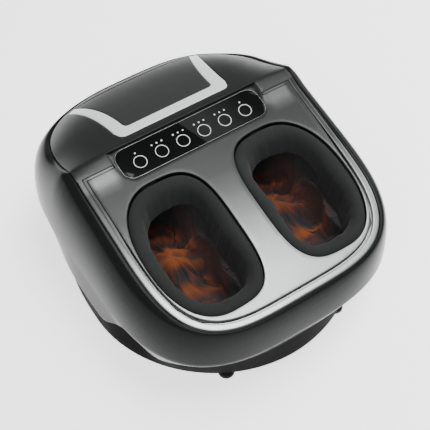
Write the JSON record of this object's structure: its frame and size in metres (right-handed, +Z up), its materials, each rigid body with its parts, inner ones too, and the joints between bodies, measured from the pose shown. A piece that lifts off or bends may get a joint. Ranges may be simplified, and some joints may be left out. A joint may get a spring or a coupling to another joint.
{
  "type": "foot massager",
  "caption": "Free-standing foot massager with two padded wells, kneading heads, air bags, heat and a sloping control panel.",
  "frame": {"origin": "middle of the footprint, on the floor under the rubber feet", "axes": "+X to the user's right as they sit facing the controls, +Y away from the user, +Z up"},
  "size_m": [0.396, 0.4408, 0.2199],
  "materials": {
    "shell_gloss": "moulded, mirror gloss charcoal",
    "base_black": "fine spark texture",
    "hood_satin": "satin dark grey metallic paint",
    "plate_metallic": "silver grey metallic paint",
    "silver_trim": "bright silver paint",
    "panel_gloss": "clear gloss over black, printed from behind",
    "sock_fabric": "knitted mesh, matte",
    "tub_black": "moulded",
    "head_orange": "rubbed smooth, lit orange by the heater",
    "heater_red": "translucent red cover",
    "bag_fabric": "coated nylon, welded",
    "white_nylon": "moulded, natural",
    "rubber_black": "moulded",
    "steel": "turned or pressed",
    "circuit_board": "green solder resist"
  },
  "bodies": {
    "chassis": {"body_shell": "shell_gloss", "base_tray": "base_black", "top_hood": "hood_satin", "rear_inlay": "hood_satin", "chevron_trim": "silver_trim", "rim_trim": "silver_trim", "foot_plate": "plate_metallic", "control_lens": "panel_gloss", "key_mat": "rubber_black", "control_board": "circuit_board", "main_board": "circuit_board", "gear_deck": "white_nylon", "drive_gearbox": "white_nylon", "drive_motor": "steel", "air_pump": "steel", "valve_block": "white_nylon", "hose_supply": "rubber_black", "hose_left": "rubber_black", "hose_right": "rubber_black", "power_inlet": "base_black", "foot_tub_left": "tub_black", "foot_sock_left": "sock_fabric", "heat_lamp_left": "heater_red", "air_bag_outer_left": "bag_fabric", "air_bag_inner_left": "bag_fabric", "air_bag_instep_left": "bag_fabric", "rubber_foot_front_left": "rubber_black", "rubber_foot_rear_left": "rubber_black", "foot_tub_right": "tub_black", "foot_sock_right": "sock_fabric", "heat_lamp_right": "heater_red", "air_bag_outer_right": "bag_fabric", "air_bag_inner_right": "bag_fabric", "air_bag_instep_right": "bag_fabric", "rubber_foot_front_right": "rubber_black", "rubber_foot_rear_right": "rubber_black", "base_screw_1": "steel", "base_screw_2": "steel", "base_screw_3": "steel", "base_screw_4": "steel"},
    "key_1": {"button_1": "panel_gloss"},
    "key_2": {"button_2": "panel_gloss"},
    "key_3": {"button_3": "panel_gloss"},
    "key_4": {"button_4": "panel_gloss"},
    "key_5": {"button_5": "panel_gloss"},
    "key_6": {"button_6": "panel_gloss"},
    "drive": {"drive_gear": "white_nylon", "drive_shaft": "steel"},
    "head_left_heel": {"massage_head_left_heel": "head_orange", "head_gear_left_heel": "white_nylon"},
    "head_left_arch": {"massage_head_left_arch": "head_orange", "head_gear_left_arch": "white_nylon"},
    "head_left_toe": {"massage_head_left_toe": "head_orange", "head_gear_left_toe": "white_nylon"},
    "head_right_heel": {"massage_head_right_heel": "head_orange", "head_gear_right_heel": "white_nylon"},
    "head_right_arch": {"massage_head_right_arch": "head_orange", "head_gear_right_arch": "white_nylon"},
    "head_right_toe": {"massage_head_right_toe": "head_orange", "head_gear_right_toe": "white_nylon"}
  },
  "joints": [
    {"name": "key_1_press", "type": "slide", "parent": "chassis", "child": "key_1", "axis": [0, 0.2079, -0.9781], "range_m": [0, 0.001], "stiffness_N_per_m": 300, "springref_m": -0.0005},
    {"name": "key_2_press", "type": "slide", "parent": "chassis", "child": "key_2", "axis": [0, 0.2079, -0.9781], "range_m": [0, 0.001], "stiffness_N_per_m": 300, "springref_m": -0.0005},
    {"name": "key_3_press", "type": "slide", "parent": "chassis", "child": "key_3", "axis": [0, 0.2079, -0.9781], "range_m": [0, 0.001], "stiffness_N_per_m": 300, "springref_m": -0.0005},
    {"name": "key_4_press", "type": "slide", "parent": "chassis", "child": "key_4", "axis": [0, 0.2079, -0.9781], "range_m": [0, 0.001], "stiffness_N_per_m": 300, "springref_m": -0.0005},
    {"name": "key_5_press", "type": "slide", "parent": "chassis", "child": "key_5", "axis": [0, 0.2079, -0.9781], "range_m": [0, 0.001], "stiffness_N_per_m": 300, "springref_m": -0.0005},
    {"name": "key_6_press", "type": "slide", "parent": "chassis", "child": "key_6", "axis": [0, 0.2079, -0.9781], "range_m": [0, 0.001], "stiffness_N_per_m": 300, "springref_m": -0.0005},
    {"name": "drive_spin", "type": "hinge", "parent": "chassis", "child": "drive", "pos_m": [0, -0.0355, 0.04], "axis": [0, 0, 1], "continuous": true},
    {"name": "head_left_heel_spin", "type": "hinge", "parent": "chassis", "child": "head_left_heel", "pos_m": [-0.084, -0.0985, 0.04], "axis": [0, 0, 1], "continuous": true},
    {"name": "head_left_arch_spin", "type": "hinge", "parent": "chassis", "child": "head_left_arch", "pos_m": [-0.084, -0.0355, 0.04], "axis": [0, 0, 1], "continuous": true},
    {"name": "head_left_toe_spin", "type": "hinge", "parent": "chassis", "child": "head_left_toe", "pos_m": [-0.084, 0.0275, 0.04], "axis": [0, 0, 1], "continuous": true},
    {"name": "head_right_heel_spin", "type": "hinge", "parent": "chassis", "child": "head_right_heel", "pos_m": [0.084, -0.0985, 0.04], "axis": [0, 0, 1], "continuous": true},
    {"name": "head_right_arch_spin", "type": "hinge", "parent": "chassis", "child": "head_right_arch", "pos_m": [0.084, -0.0355, 0.04], "axis": [0, 0, 1], "continuous": true},
    {"name": "head_right_toe_spin", "type": "hinge", "parent": "chassis", "child": "head_right_toe", "pos_m": [0.084, 0.0275, 0.04], "axis": [0, 0, 1], "continuous": true}
  ],
  "couplings": [
    {"joint": "head_left_heel_spin", "follows": "drive_spin", "ratio": 1.6667},
    {"joint": "head_left_arch_spin", "follows": "drive_spin", "ratio": -1.6667},
    {"joint": "head_left_toe_spin", "follows": "drive_spin", "ratio": 1.6667},
    {"joint": "head_right_heel_spin", "follows": "drive_spin", "ratio": 1.6667},
    {"joint": "head_right_arch_spin", "follows": "drive_spin", "ratio": -1.6667},
    {"joint": "head_right_toe_spin", "follows": "drive_spin", "ratio": 1.6667}
  ]
}
